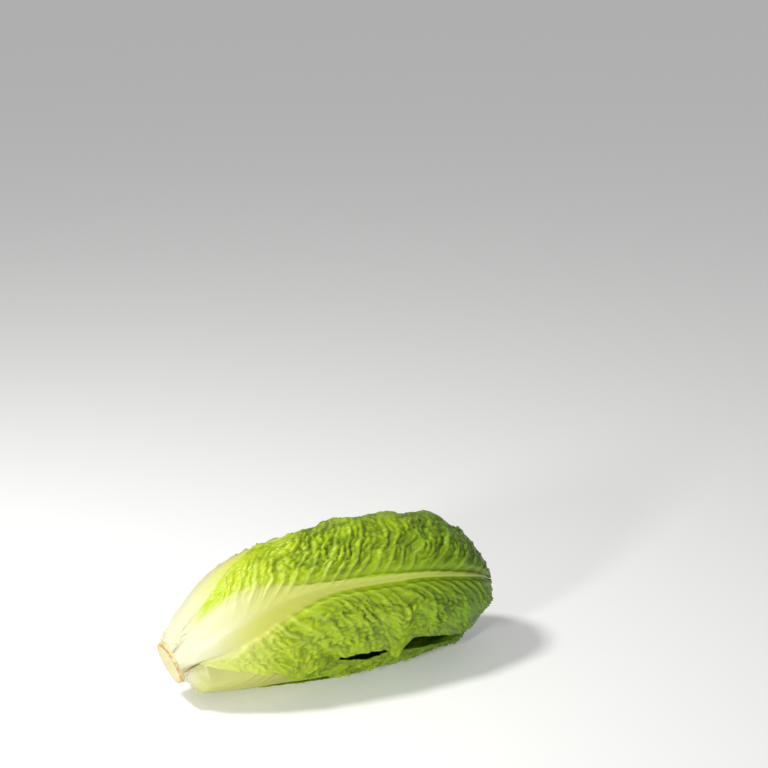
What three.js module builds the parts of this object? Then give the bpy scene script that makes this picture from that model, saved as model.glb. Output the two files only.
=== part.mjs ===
// Whole romaine lettuce head lying on its side, in millimetres.
// The cut stem points to -X, the leaf tips point to +X, and the table is the plane z = 0.
import * as THREE from 'three';

// The head's middle line: station is the distance along the head from its cut end
const BELLY_HEIGHT = 57;
const NECK_DROP = 29.5;
const NECK_CURVE = 3.3;
const NECK_REACH = 140;
const TIP_DROP = 13;
const TIP_REACH = 120;
const CROWN_STATION = 235;
const POLE_STATION = 315;

// Radius of the closed head, [station, radius]
const ENVELOPE = [
  [4, 19], [10, 24.5], [15, 29.5], [22, 34.5], [33, 40.5], [55, 49], [80, 54],
  [120, 58.5], [165, 59.2], [207, 57.5], [235, 51.5], [275, 47], [315, 50],
];

// Stem
const CUT_STATION = 6.5;
const CUT_TILT = 0.27;
const CUT_TILT_REACH = 22;
const STEM_COLUMNS = 22;
const STEM_PROFILE = [
  [6.5, 18.4], [7.5, 18.8], [12, 18.6], [20, 18], [32, 16.8], [45, 13], [58, 8.6], [61, 5.5],
];
const STEM_RINGS = [6.5, 7.5, 12, 16, 20, 32, 45, 58, 61];

// Leaf blade and midrib
const BLADE_THICKNESS = 0.85;
const CLEARANCE = 0.6;
const STEM_GAP = 0.45;
const RIB_HEIGHT = [[0, 0.5], [0.05, 4.6], [0.2, 4.2], [0.36, 3.2], [0.6, 2.2], [0.85, 1.1], [1, 0.3]];
const RIB_HALF_WIDTH = [
  [0, 15], [0.07, 20], [0.19, 18], [0.27, 13], [0.37, 9], [0.55, 6.5], [0.8, 4.5], [1, 2],
];
const RIB_CREST = 0.08;
const RIB_SHARPNESS = 1.5;
const WIDEST_LEAF = 79;
const RIB_BULGE = [[0, 0], [0.1, 2], [0.22, 2.8], [0.4, 2.6], [0.6, 2], [0.85, 1], [1, 0.3]];
const RIB_SWAY = [[8, 8], [50, 0], [103, -4], [160, -1], [257, 3], [315, 3]];
const MARGIN_HUG = 0.85;
const USUAL_HUG = 8;
const LOOSE_HUG = { leaf_outer_front: 3, leaf_outer_low: 3 };
const BASE_HUG = 14;
const BASE_HUG_FROM = 16;
const BASE_HUG_REACH = 34;
const OUTLINE = [
  [0, 0.19], [0.04, 0.29], [0.09, 0.41], [0.2, 0.66], [0.3, 0.88], [0.45, 1], [0.66, 0.97], [0.85, 0.86],
  [1, 0.8],
];
const TIP_ROUNDING_FROM = 0.72;
const TIP_END_WIDTH = 0.16;
const MOST_HALF_ANGLE = 100;

// Where a leaf's margins step in or out from the common outline, [share of the leaf, millimetres]
const MARGIN_STEPS = {
  leaf_outer_front: {
    before: [[0, 2], [0.2, -2], [0.27, -5], [0.31, -17], [0.4, -17], [0.5, -4], [0.6, -3], [0.7, 0], [1, 0]],
    after: [
      [0, -9], [0.04, -7], [0.1, -4], [0.2, -3], [0.3, -4], [0.38, -15], [0.47, -20], [0.54, -15],
      [0.585, -6], [0.62, -24], [0.72, -20], [0.85, -8], [1, 0],
    ],
  },
  leaf_outer_low: {
    before: [
      [0, 6], [0.1, 3], [0.26, 0], [0.33, -36], [0.42, -38], [0.51, -43], [0.6, -42], [0.66, -38],
      [0.73, -38], [0.81, -42], [1, -44],
    ],
    after: [[0, 0], [1, 0]],
  },
  leaf_outer_under: {
    before: [[0, 0], [0.15, -18], [0.3, -28], [1, -24]],
    after: [[0, 0], [1, 0]],
  },
};

// Degrees by which a leaf's rib leaves its own turn, [station, degrees]
const RIB_TWIST = { leaf_outer_low: [[12, -14], [60, -8], [140, 7], [272, 7]] };

// Facets of a leaf, along and across it, and how much its margin waves
const INNER = { rows: 12, columns: 6, ripple: 1.6 };
const MIDDLE = { rows: 14, columns: 8, ripple: 2 };
const OUTER = { rows: 20, columns: 10, ripple: 2 };
const FRONT = { rows: 24, columns: 12, ripple: 1.4 };

// Leaves from the innermost outward. turn: degrees from straight up, toward -Y. level: share of the envelope.
const LEAVES = [
  { name: 'leaf_inner_a', turn: 190, start: 41, reach: 287, width: 38, level: 0.4, ...INNER },
  { name: 'leaf_inner_b', turn: 75, start: 38, reach: 291, width: 42, level: 0.44, ...INNER },
  { name: 'leaf_inner_c', turn: 310, start: 35, reach: 285, width: 46, level: 0.485, ...INNER },
  { name: 'leaf_middle_a', turn: 242, start: 30, reach: 290, width: 52, level: 0.565, ...MIDDLE },
  { name: 'leaf_middle_b', turn: 98, start: 28, reach: 284, width: 54, level: 0.605, ...MIDDLE },
  { name: 'leaf_middle_c', turn: 314, start: 26, reach: 293, width: 58, level: 0.645, ...MIDDLE },
  { name: 'leaf_middle_d', turn: 170, start: 24, reach: 280, width: 60, level: 0.685, ...MIDDLE },
  { name: 'leaf_middle_e', turn: 26, start: 22, reach: 287, width: 62, level: 0.725, ...MIDDLE, ripple: 2.4 },
  { name: 'leaf_outer_back', turn: 278, start: 10, reach: 282, width: 70, level: 0.85, ...OUTER, ripple: 3 },
  { name: 'leaf_outer_low', turn: 155, start: 9.6, reach: 272, width: 70, level: 0.92, ...OUTER, ripple: 0.8 },
  { name: 'leaf_outer_top', turn: 350, start: 9.2, reach: 284, width: 74, level: 0.9, ...OUTER },
  { name: 'leaf_outer_under', turn: 206, start: 10.4, reach: 276, width: 72, level: 1, ...OUTER, ripple: 0 },
  { name: 'leaf_outer_front', turn: 62, start: 8.4, reach: 300, width: WIDEST_LEAF, level: 0.96, ...FRONT },
];
const ROW_CROWDING = 0.075;
const WAVES = 7;
const SCALLOP = 2.6;
const TIP_GATHER = 0.5;
const GATHER_FROM = 190;
const OUTER_BASE_BLEND = 9;
const LOWER_BASE_BLEND = 18;
const BASE_BLEND = 26;

// Heart
const HEART_START = 61.5;
const HEART_PROFILE = [[61.5, 7.5], [68, 12], [85, 16], [150, 20], [235, 20], [280, 24], [315, 30]];
const HEART_RINGS = [61.5, 68, 80, 100, 125, 150, 180, 210, 235, 250, 265, 280, 295];
const HEART_COLUMNS = 30;
const HEART_FOLDS = 5;
const HEART_FOLD_DEPTH = 0.13;
const HEART_TWIST = 0.9;

const COLOURS = {
  outer: '#7fae22',
  middle: '#9cc433',
  inner: '#c3d860',
  heart: '#dde58a',
  stem: '#eeebb4',
};

// Grid that remembers how far out the leaves laid so far reach, as a share of the envelope
const STATION_STEP = 5;
const TURN_STEP = 4;
const STATIONS = Math.round(POLE_STATION / STATION_STEP) + 1;
const TURNS = 360 / TURN_STEP;
const SPREAD_CELLS = 2;

const radians = (degrees) => degrees * Math.PI / 180;
const clamp = (value, low, high) => Math.min(Math.max(value, low), high);

function smoothStep(value) {
  const share = clamp(value, 0, 1);
  return share * share * (3 - 2 * share);
}

// Smooth curve through a short table of [position, value] pairs
function along(table, position) {
  const last = table.length - 1;
  const place = clamp(position, table[0][0], table[last][0]);
  let k = 0;
  while (k < last - 1 && place > table[k + 1][0]) k += 1;
  const slopeAt = (i) => {
    const before = table[Math.max(i - 1, 0)];
    const after = table[Math.min(i + 1, last)];
    return (after[1] - before[1]) / (after[0] - before[0]);
  };
  const span = table[k + 1][0] - table[k][0];
  const w = (place - table[k][0]) / span;
  const rise = table[k + 1][1] - table[k][1];
  const startSlope = slopeAt(k) * span;
  const endSlope = slopeAt(k + 1) * span;
  const cubic = startSlope + endSlope - 2 * rise;
  const square = 3 * rise - 2 * startSlope - endSlope;
  return table[k][1] + w * (startSlope + w * (square + w * cubic));
}

// Height of the middle line above the table
function spineHeight(x) {
  const low = NECK_DROP * Math.max(1 - x / NECK_REACH, 0) ** NECK_CURVE;
  const tip = TIP_DROP * Math.max((x - POLE_STATION + 145) / TIP_REACH, 0) ** 2;
  return BELLY_HEIGHT - low - tip;
}

// Angle by which a ray leans forward: zero along the body, a quarter turn at the pole
function crownAngle(station) {
  return clamp((station - CROWN_STATION) / (POLE_STATION - CROWN_STATION), 0, 1) * Math.PI / 2;
}

// Point of the head in millimetres; near the stem's end the cross-sections tilt as the cut does
function place(station, turn, height) {
  const lean = crownAngle(station);
  const radius = height * Math.cos(lean);
  const rise = radius * Math.cos(radians(turn));
  const tilt = CUT_TILT * (1 - smoothStep((station - CUT_STATION) / CUT_TILT_REACH));
  const x = Math.min(station, CROWN_STATION) + height * Math.sin(lean) - rise * tilt;
  const y = -radius * Math.sin(radians(turn));
  return [x, y, rise + spineHeight(x)];
}

// Share of a ray's length that points down
function downShare(station, turn) {
  return -Math.cos(radians(turn)) * Math.cos(crownAngle(station));
}

// Length of a ray from the middle line to the table
function tableDistance(station, turn) {
  const down = downShare(station, turn);
  if (down < 0.3) return Infinity;
  const x = Math.min(station, CROWN_STATION) + along(ENVELOPE, station) * Math.sin(crownAngle(station));
  return spineHeight(x) / down;
}

// Radius of the closed head in one direction, flattened where it lies on the table
function envelopeAt(station, turn) {
  return Math.min(along(ENVELOPE, station), tableDistance(station, turn));
}

// Closed body from rings of points, with a middle point at each end
function bodyFromRings(rings, startPoint, endPoint) {
  const columns = rings[0].length;
  const points = rings.flat();
  const faces = [];
  const at = (row, column) => row * columns + (column % columns);
  for (let row = 0; row < rings.length - 1; row += 1) {
    for (let column = 0; column < columns; column += 1) {
      const a = at(row, column);
      const b = at(row, column + 1);
      const c = at(row + 1, column + 1);
      const d = at(row + 1, column);
      faces.push([a, c, d], [a, b, c]);
    }
  }
  const start = points.push(startPoint) - 1;
  const end = points.push(endPoint) - 1;
  const lastRow = rings.length - 1;
  for (let column = 0; column < columns; column += 1) {
    faces.push([start, at(0, column + 1), at(0, column)]);
    faces.push([end, at(lastRow, column), at(lastRow, column + 1)]);
  }
  return { points, faces };
}

// Closed thin body from an outer and an inner grid of points, split alike on both faces
function bodyFromSheets(outer, inner) {
  const rows = outer.length;
  const columns = outer[0].length;
  const points = [...outer.flat(), ...inner.flat()];
  const under = rows * columns;
  const faces = [];
  const quad = (a, b, c, d) => faces.push([a, c, b], [a, d, c]);
  for (let row = 0; row < rows - 1; row += 1) {
    for (let column = 0; column < columns - 1; column += 1) {
      const a = row * columns + column;
      const b = a + 1;
      const c = a + columns + 1;
      const d = a + columns;
      if (column * 2 + 1 < columns) {
        quad(b, a, d, c);
        quad(under + b, under + c, under + d, under + a);
      } else {
        quad(a, d, c, b);
        quad(under + a, under + b, under + c, under + d);
      }
    }
  }
  for (let row = 0; row < rows - 1; row += 1) {
    const left = row * columns;
    const right = left + columns - 1;
    quad(left, under + left, under + left + columns, left + columns);
    quad(right, right + columns, under + right + columns, under + right);
  }
  const lastRow = (rows - 1) * columns;
  for (let column = 0; column < columns - 1; column += 1) {
    quad(column, column + 1, under + column + 1, under + column);
    quad(lastRow + column, under + lastRow + column, under + lastRow + column + 1, lastRow + column + 1);
  }
  return { points, faces };
}

function makeMesh(name, body, colour) {
  const geometry = new THREE.BufferGeometry();
  geometry.setAttribute('position', new THREE.Float32BufferAttribute(body.points.flat(), 3));
  geometry.setIndex(body.faces.flat());
  geometry.computeVertexNormals();
  const material = new THREE.MeshStandardMaterial({ color: colour, roughness: 0.5 });
  material.name = name;
  const mesh = new THREE.Mesh(geometry, material);
  mesh.name = name;
  return mesh;
}

const gridIndex = (i, j) => i * TURNS + ((j % TURNS) + TURNS) % TURNS;

function spreadAlong(field, cellIndex, pick) {
  const result = new Float64Array(field.length);
  for (let i = 0; i < STATIONS; i += 1) {
    for (let j = 0; j < TURNS; j += 1) {
      const nearby = [];
      for (let n = -SPREAD_CELLS; n <= SPREAD_CELLS; n += 1) nearby.push(field[cellIndex(i, j, n)]);
      result[gridIndex(i, j)] = pick(nearby);
    }
  }
  return result;
}

const alongHead = (i, j, n) => gridIndex(clamp(i + n, 0, STATIONS - 1), j);
const aroundHead = (i, j, n) => gridIndex(i, j + n);
const most = (values) => Math.max(...values);
const mean = (values) => values.reduce((sum, value) => sum + value, 0) / values.length;

// Smooth surface that clears everything laid so far
function guideOver(cover) {
  let guide = spreadAlong(spreadAlong(cover, alongHead, most), aroundHead, most);
  guide = spreadAlong(spreadAlong(guide, alongHead, mean), aroundHead, mean);
  return guide;
}

function sample(field, station, turn) {
  const i = clamp(station / STATION_STEP, 0, STATIONS - 1.001);
  const j = turn / TURN_STEP;
  const i0 = Math.floor(i);
  const j0 = Math.floor(j);
  const u = i - i0;
  const v = j - j0;
  const near = field[gridIndex(i0, j0)] * (1 - v) + field[gridIndex(i0, j0 + 1)] * v;
  const far = field[gridIndex(i0 + 1, j0)] * (1 - v) + field[gridIndex(i0 + 1, j0 + 1)] * v;
  return near * (1 - u) + far * u;
}

// One leaf: v runs from -1 at one margin over 0 at the rib to 1 at the other margin
function leafLevel(leaf, station) {
  const gather = smoothStep((station - GATHER_FROM) / (POLE_STATION - GATHER_FROM));
  return leaf.level + (1 - leaf.level) * TIP_GATHER * gather;
}

function marginStep(leaf, share, side) {
  const steps = MARGIN_STEPS[leaf.name];
  if (!steps) return 0;
  return along(side < 0 ? steps.before : steps.after, share);
}

// How far a leaf runs along the stem before it has swung out to its own level
function baseBlend(leaf) {
  if (leaf.level < 0.8) return BASE_BLEND;
  return leaf.turn > 120 && leaf.turn < 300 ? LOWER_BASE_BLEND : OUTER_BASE_BLEND;
}

function halfAngle(leaf, share, station, side) {
  const rounding = clamp((share - TIP_ROUNDING_FROM) / (1 - TIP_ROUNDING_FROM), 0, 1);
  const closing = Math.max(Math.sqrt(1 - rounding * rounding), TIP_END_WIDTH);
  const wave = SCALLOP * smoothStep(share * 4) * Math.sin(2 * Math.PI * WAVES * share + side + leaf.turn);
  const width = (along(OUTLINE, share) * leaf.width + wave + marginStep(leaf, share, side)) * closing;
  const radius = leafLevel(leaf, station) * along(ENVELOPE, station) * Math.cos(crownAngle(station));
  return Math.min(width / Math.max(radius, 6) * 180 / Math.PI, MOST_HALF_ANGLE);
}

// Room between layers: the clearance and the sag of a flat facet across the bend
function layerGap(leaf) {
  const station = leafStation(leaf, 0.5);
  const radius = leaf.level * along(ENVELOPE, station);
  const facet = 2 * radians(halfAngle(leaf, 0.5, station, 0)) / leaf.columns;
  return CLEARANCE + radius * (1 - Math.cos(facet / 2));
}

function leafFaces(leaf, guide, share, station, turn, v) {
  const envelope = envelopeAt(station, turn);
  const widthHere = along(OUTLINE, share) * leaf.width;
  const ribScale = leaf.width / WIDEST_LEAF;
  const ribHalf = along(RIB_HALF_WIDTH, share) * ribScale;
  const ribSlope = Math.sqrt((v * widthHere / ribHalf) ** 2 + RIB_CREST) - Math.sqrt(RIB_CREST);
  const ribProfile = Math.exp(-RIB_SHARPNESS * ribSlope);
  const rib = along(RIB_HEIGHT, share) * (0.55 + 0.45 * ribScale) * ribProfile;
  const thickness = BLADE_THICKNESS + rib;
  const margin = Math.abs(v) ** 3 * smoothStep(share * 3);
  const ripple = leaf.ripple * margin * (0.5 + 0.5 * Math.sin(2 * Math.PI * WAVES * share + v + leaf.turn));
  const stemTop = along(STEM_PROFILE, station) + STEM_GAP;
  const blend = smoothStep((station - leaf.start) / baseBlend(leaf));
  const target = (stemTop + thickness) * (1 - blend) + leafLevel(leaf, station) * envelope * blend;
  const laid = Math.max(sample(guide, station, turn) * envelope + layerGap(leaf), stemTop);
  const pressed = smoothStep((downShare(station, turn) - 0.7) / 0.25);
  const hug = MARGIN_HUG * smoothStep((Math.abs(v) - 0.4) / 0.55) * (1 - pressed);
  const looseHug = LOOSE_HUG[leaf.name] ?? USUAL_HUG;
  const baseShare = 1 - smoothStep((station - BASE_HUG_FROM) / BASE_HUG_REACH);
  const mostHug = looseHug + (BASE_HUG - looseHug) * baseShare;
  const sink = clamp(hug * (target - laid - thickness), 0, mostHug);
  const bulge = along(RIB_BULGE, share) * ribScale * ribProfile;
  const free = Math.max(target - sink + bulge - thickness, laid) + ripple;
  const inner = Math.min(free, tableDistance(station, turn) - thickness);
  return { inner, outer: inner + thickness };
}

function leafStation(leaf, share) {
  return leaf.start + (leaf.reach - leaf.start) * share;
}

function leafTurn(leaf, share, station, v) {
  const twist = leaf.name in RIB_TWIST ? along(RIB_TWIST[leaf.name], station) : 0;
  const ribTurn = leaf.turn + along(RIB_SWAY, station) + twist;
  return ribTurn + v * halfAngle(leaf, share, station, Math.sign(v));
}

function buildLeaf(leaf, guide) {
  const outer = [];
  const inner = [];
  for (let row = 0; row <= leaf.rows; row += 1) {
    const step = row / leaf.rows;
    const share = step - ROW_CROWDING * Math.sin(2 * Math.PI * step);
    const station = leafStation(leaf, share);
    const outerRow = [];
    const innerRow = [];
    for (let column = 0; column <= leaf.columns; column += 1) {
      const v = column / leaf.columns * 2 - 1;
      const turn = leafTurn(leaf, share, station, v);
      const faces = leafFaces(leaf, guide, share, station, turn, v);
      outerRow.push(place(station, turn, faces.outer));
      innerRow.push(place(station, turn, faces.inner));
    }
    outer.push(outerRow);
    inner.push(innerRow);
  }
  return bodyFromSheets(outer, inner);
}

function coverWithLeaf(cover, leaf, guide) {
  for (let i = 0; i < STATIONS; i += 1) {
    const station = i * STATION_STEP;
    const share = (station - leaf.start) / (leaf.reach - leaf.start);
    if (share < -0.04 || share > 1.03) continue;
    const inside = clamp(share, 0, 1);
    const centre = leafTurn(leaf, inside, station, 0);
    for (let j = 0; j < TURNS; j += 1) {
      const turn = j * TURN_STEP;
      const away = ((turn - centre + 540) % 360) - 180;
      const side = away < 0 ? -1 : 1;
      const v = Math.abs(away) <= TURN_STEP / 2 ? 0 : away / halfAngle(leaf, inside, station, side);
      if (Math.abs(v) > 1.12) continue;
      const faces = leafFaces(leaf, guide, inside, station, turn, clamp(v, -1, 1));
      const cell = gridIndex(i, j);
      cover[cell] = Math.max(cover[cell], faces.outer / envelopeAt(station, turn));
    }
  }
}

// Heart: a bud whose outline steps like rolled leaves
function heartRadius(station, turn) {
  const lap = turn / 360 * HEART_FOLDS + HEART_TWIST * station / POLE_STATION;
  const step = 1 - (lap - Math.floor(lap));
  const fold = HEART_FOLD_DEPTH * smoothStep((station - HEART_START) / 30) * Math.cos(crownAngle(station));
  return along(HEART_PROFILE, station) * (1 - fold * (1 - step));
}

function buildHeart(cover) {
  const ring = (station) => {
    const points = [];
    for (let column = 0; column < HEART_COLUMNS; column += 1) {
      const turn = column / HEART_COLUMNS * 360;
      points.push(place(station, turn, heartRadius(station, turn)));
    }
    return points;
  };
  for (let i = 0; i < STATIONS; i += 1) {
    const station = i * STATION_STEP;
    for (let j = 0; j < TURNS; j += 1) {
      const turn = j * TURN_STEP;
      if (station < HEART_START) continue;
      cover[gridIndex(i, j)] = heartRadius(station, turn) / envelopeAt(station, turn);
    }
  }
  const rings = HEART_RINGS.map(ring);
  const base = place(HEART_START, 0, 0);
  const tip = place(POLE_STATION, 0, along(HEART_PROFILE, POLE_STATION));
  return bodyFromRings(rings, base, tip);
}

function buildStem() {
  const ring = (station) => {
    const points = [];
    for (let column = 0; column < STEM_COLUMNS; column += 1) {
      points.push(place(station, column / STEM_COLUMNS * 360, along(STEM_PROFILE, station)));
    }
    return points;
  };
  const rings = STEM_RINGS.map(ring);
  const lastStation = STEM_RINGS[STEM_RINGS.length - 1];
  return bodyFromRings(rings, place(CUT_STATION, 0, 0), place(lastStation, 0, 0));
}

function colourOf(leaf) {
  if (leaf.name.includes('outer')) return COLOURS.outer;
  if (leaf.name.includes('middle')) return COLOURS.middle;
  return COLOURS.inner;
}

function buildHead() {
  const head = new THREE.Group();
  head.name = 'romaine_lettuce_head';
  const cover = new Float64Array(STATIONS * TURNS);
  head.add(makeMesh('stem', buildStem(), COLOURS.stem));
  head.add(makeMesh('heart', buildHeart(cover), COLOURS.heart));
  for (const leaf of LEAVES) {
    const guide = guideOver(cover);
    head.add(makeMesh(leaf.name, buildLeaf(leaf, guide), colourOf(leaf)));
    coverWithLeaf(cover, leaf, guide);
  }
  return head;
}

// The origin is the middle of the head's outline on the table
function centreOnTable(head) {
  const box = new THREE.Box3().setFromObject(head);
  const middle = box.getCenter(new THREE.Vector3());
  for (const mesh of head.children) mesh.geometry.translate(-middle.x, -middle.y, -box.min.z);
  return head;
}

export default centreOnTable(buildHead());
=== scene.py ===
# Looks of a whole romaine lettuce head lying on its side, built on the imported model's frame.
import math

import bpy
import numpy as np
from mathutils import Matrix, Vector


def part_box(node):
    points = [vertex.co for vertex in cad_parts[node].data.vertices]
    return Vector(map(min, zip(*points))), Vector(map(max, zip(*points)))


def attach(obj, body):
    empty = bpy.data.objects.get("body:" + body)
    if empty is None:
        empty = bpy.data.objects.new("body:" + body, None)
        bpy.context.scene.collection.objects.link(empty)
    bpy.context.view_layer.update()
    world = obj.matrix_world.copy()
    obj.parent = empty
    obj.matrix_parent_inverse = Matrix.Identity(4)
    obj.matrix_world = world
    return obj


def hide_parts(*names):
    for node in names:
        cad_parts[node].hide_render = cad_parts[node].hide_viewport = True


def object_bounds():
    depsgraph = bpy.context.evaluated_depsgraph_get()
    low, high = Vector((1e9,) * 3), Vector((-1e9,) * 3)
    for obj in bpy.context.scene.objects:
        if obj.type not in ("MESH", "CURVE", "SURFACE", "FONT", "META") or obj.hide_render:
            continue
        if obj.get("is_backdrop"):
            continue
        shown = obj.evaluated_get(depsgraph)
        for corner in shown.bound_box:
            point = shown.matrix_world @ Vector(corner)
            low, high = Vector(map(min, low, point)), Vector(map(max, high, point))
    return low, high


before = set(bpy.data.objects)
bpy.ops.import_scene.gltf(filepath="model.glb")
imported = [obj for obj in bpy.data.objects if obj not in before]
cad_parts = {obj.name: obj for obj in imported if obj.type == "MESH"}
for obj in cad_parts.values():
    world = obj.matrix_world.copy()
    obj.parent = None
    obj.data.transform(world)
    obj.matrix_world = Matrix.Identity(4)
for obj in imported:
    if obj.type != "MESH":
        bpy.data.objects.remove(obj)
cad_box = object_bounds()

# The head's middle line in millimetres: station is the distance along the head from its cut end
BELLY_HEIGHT = 57.0
NECK_DROP = 29.5
NECK_CURVE = 3.3
NECK_REACH = 140.0
TIP_DROP = 13.0
TIP_DROP_FROM = 170.0
TIP_REACH = 120.0
CROWN_STATION = 235.0
POLE_STATION = 315.0
ENVELOPE = [
    (4, 19), (10, 24.5), (15, 29.5), (22, 34.5), (33, 40.5), (55, 49), (80, 54),
    (120, 58.5), (165, 59.2), (207, 57.5), (235, 51.5), (275, 47), (315, 50),
]
LEAST_RADIUS = 6

# A ray reaches the table only if at least this share of it points down
LEAST_DOWN_SHARE = 0.3
NO_TABLE = 1000

# Stem, in millimetres
STEM_PROFILE = [(6.5, 18.4), (7.5, 18.8), (12, 18.6), (20, 18), (32, 16.8), (45, 13), (58, 8.6), (61, 5.5)]
STEM_END = 61.0
STEM_COLUMNS = 144
STEM_CREASE = 0.35
NECK_STATION = 12
NECK_RINGS = 30
CORE_RINGS = 40
CUT_STATION = 6.5
CUT_TILT = 0.27
CUT_TILT_REACH = 22.0
CUT_RINGS = 24
CUT_BEVEL = 0.8
CUT_CROWN = 0.35
CUT_ROUGHNESS = 0.12
RIM_FROM = 0.8
RIM_HEIGHT = 1.3

# Leaf blade and midrib. Tables give a value for a share of the leaf's length, RIB_SWAY degrees for a station
BLADE_THICKNESS = 0.5
LAYER_GAP = 0.35
STEM_GAP = 0.12
WIDEST_LEAF = 79
RIB_HEIGHT = [(0, 0.5), (0.05, 4.6), (0.2, 4.2), (0.36, 3.2), (0.6, 2.2), (0.85, 1.1), (1, 0.3)]
RIB_HALF_WIDTH = [
    (0, 15), (0.07, 20), (0.19, 18), (0.27, 11.5), (0.37, 7.5), (0.55, 5.2), (0.8, 3.6), (1, 2),
]
RIB_CREST = 0.025
RIB_SHARPNESS = 1.5
RIB_BULGE = [(0, 0), (0.1, 2), (0.22, 2.8), (0.4, 2.6), (0.6, 2), (0.85, 1), (1, 0.3)]
RIB_SWAY = [(8, 8), (50, 0), (103, -5.5), (160, -3), (257, 2.5), (315, 3)]
WIDE_RIB = {"leaf_outer_low": 1.6, "leaf_outer_top": 1.2}
MARGIN_HUG = 0.85
USUAL_HUG = 8.0
LOOSE_HUG = {"leaf_outer_front": 3.0, "leaf_outer_low": 3.0}
BASE_HUG = 14.0
BASE_HUG_FROM = 16.0
BASE_HUG_REACH = 34.0
PRESSED_DOWN_SHARE = 0.7
PRESSED_FADE = 0.25
PRESSED_FROM = 35
PRESSED_REACH = 40
OUTLINE = [
    (0, 0.19), (0.04, 0.29), (0.09, 0.41), (0.2, 0.66), (0.3, 0.88), (0.45, 1), (0.66, 0.97), (0.85, 0.86),
    (1, 0.8),
]
TIP_ROUNDING_FROM = 0.72
TIP_END_WIDTH = 0.02
MOST_HALF_ANGLE = 100.0
TIP_GATHER = 0.5
GATHER_FROM = 190
OUTER_LEVEL = 0.8
LOWER_TURNS = (120, 300)
OUTER_BASE_BLEND = 9.0
LOWER_BASE_BLEND = 18.0
BASE_BLEND = 26.0
ROW_CROWDING = 0.075

# Where a leaf's margins step in or out from the common outline, in millimetres: the lower turn comes first
MARGIN_STEPS = {
    "leaf_outer_front": (
        [(0, 2), (0.2, -2), (0.27, -5), (0.31, -17), (0.4, -17), (0.47, -7), (0.52, 0), (0.565, 1),
         (0.585, -4), (0.61, 0), (1, 0)],
        [(0, -9), (0.04, -7), (0.1, -4), (0.2, -3), (0.3, -4), (0.38, -15), (0.47, -20), (0.54, -15),
         (0.585, -6), (0.62, -24), (0.72, -20), (0.85, -8), (1, 0)],
    ),
    "leaf_outer_low": (
        [(0, 6), (0.1, 3), (0.26, 0), (0.33, -36), (0.42, -38), (0.51, -43), (0.6, -42), (0.66, -38),
         (0.73, -38), (0.81, -42), (1, -44)],
        [(0, 8), (0.08, 6), (0.2, 0), (1, 0)],
    ),
    "leaf_outer_under": ([(0, 0), (0.15, -18), (0.3, -28), (1, -24)], [(0, 0), (1, 0)]),
}

# Degrees by which a leaf's rib leaves its own turn
RIB_TWIST = {"leaf_outer_low": [(12, -14), (60, -8), (140, 7), (272, 7)]}

# Ripples, waves and teeth of the margins in millimetres, and the shares of a leaf where they begin and end
MARGIN_RIPPLES = 7
WAVE_DEPTH = 2.4
WAVE_LENGTH = 21
TOOTH_DEPTH = 1.0
TOOTH_LENGTH = 7.0
FRILL_HEIGHT = 1.6
FRILL_LENGTH = 9.0
RAGGED_FROM = {"leaf_outer_front": 0.04}
USUAL_RAGGED_FROM = 0.14
RAGGED_TO = 0.9

# Side veins and the minor veins between them, in millimetres. Three are shares: VEIN_REACH of a leaf's half
# width, VEIN_STAGGER of the spacing and RIB_FLANK of the rib's half width
VEIN_SPACING = 11.5
VEIN_WIDTH = 0.95
VEIN_HEIGHT = 1.1
VEIN_REACH = 0.62
VEIN_STAGGER = 0.27
VEIN_WANDER = 5.0
FINE_VEIN_WANDER = 1.6
VEIN_SWEEP_NEAR = 17.0
VEIN_SWEEP_NEAR_LENGTH = 9.0
VEIN_SWEEP_FAR = 0.5
MINOR_SPACING = VEIN_SPACING / 3
MINOR_WIDTH = 0.6
MINOR_HEIGHT = 0.45
MINOR_REACH = 14
RIB_FLANK = 0.8
BLADE_FROM = 6
EDGE_FROM = 0.72
EDGE_FADE = 0.25

# Pillows, folds, creases and swells between the veins, in millimetres. PILLOW_UNEVENNESS, PILLOW_STRETCH,
# EDGE_RELIEF, TIP_RELIEF, HIDDEN_RELIEF and INNER_RELIEF are shares
PILLOW_WIDTH = 5.6
PILLOW_LENGTH = 7.4
PILLOW_HEIGHT = 4.4
PILLOW_UNEVENNESS = 0.32
PILLOW_STRETCH = 0.35
PILLOW_JOG = 3.0
ROW_JOG = 40
ROW_DRIFT = 2.6
FINE_ROW_DRIFT = 1.2
FOLD_HEIGHT = 3.0
CREASE_HEIGHT = 2.0
QUILT_HEIGHT = 1.2
QUILT_EDGE = VEIN_SPACING * 0.42
SWELL_HEIGHT = 1.5
SWELL_LENGTH = 34.0
GROOVE_DEPTH = 2.2
GROOVE_WIDTH = 2.2
GROOVE_PLACE = 1.15
EDGE_RELIEF = 0.38
TIP_RELIEF = 0.45
INNER_RELIEF = 0.35
HIDDEN_RELIEF = 0.25
HIDDEN_WITHIN = 0.7
HIDDEN_FADE = 0.25

# Share of a leaf's length that stays smooth at the stem's end: from where to where the smoothness fades
USUAL_SMOOTH_BASE = (0.1, 0.32)
SMOOTH_BASE = {"leaf_outer_front": (0.04, 0.09)}

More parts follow.
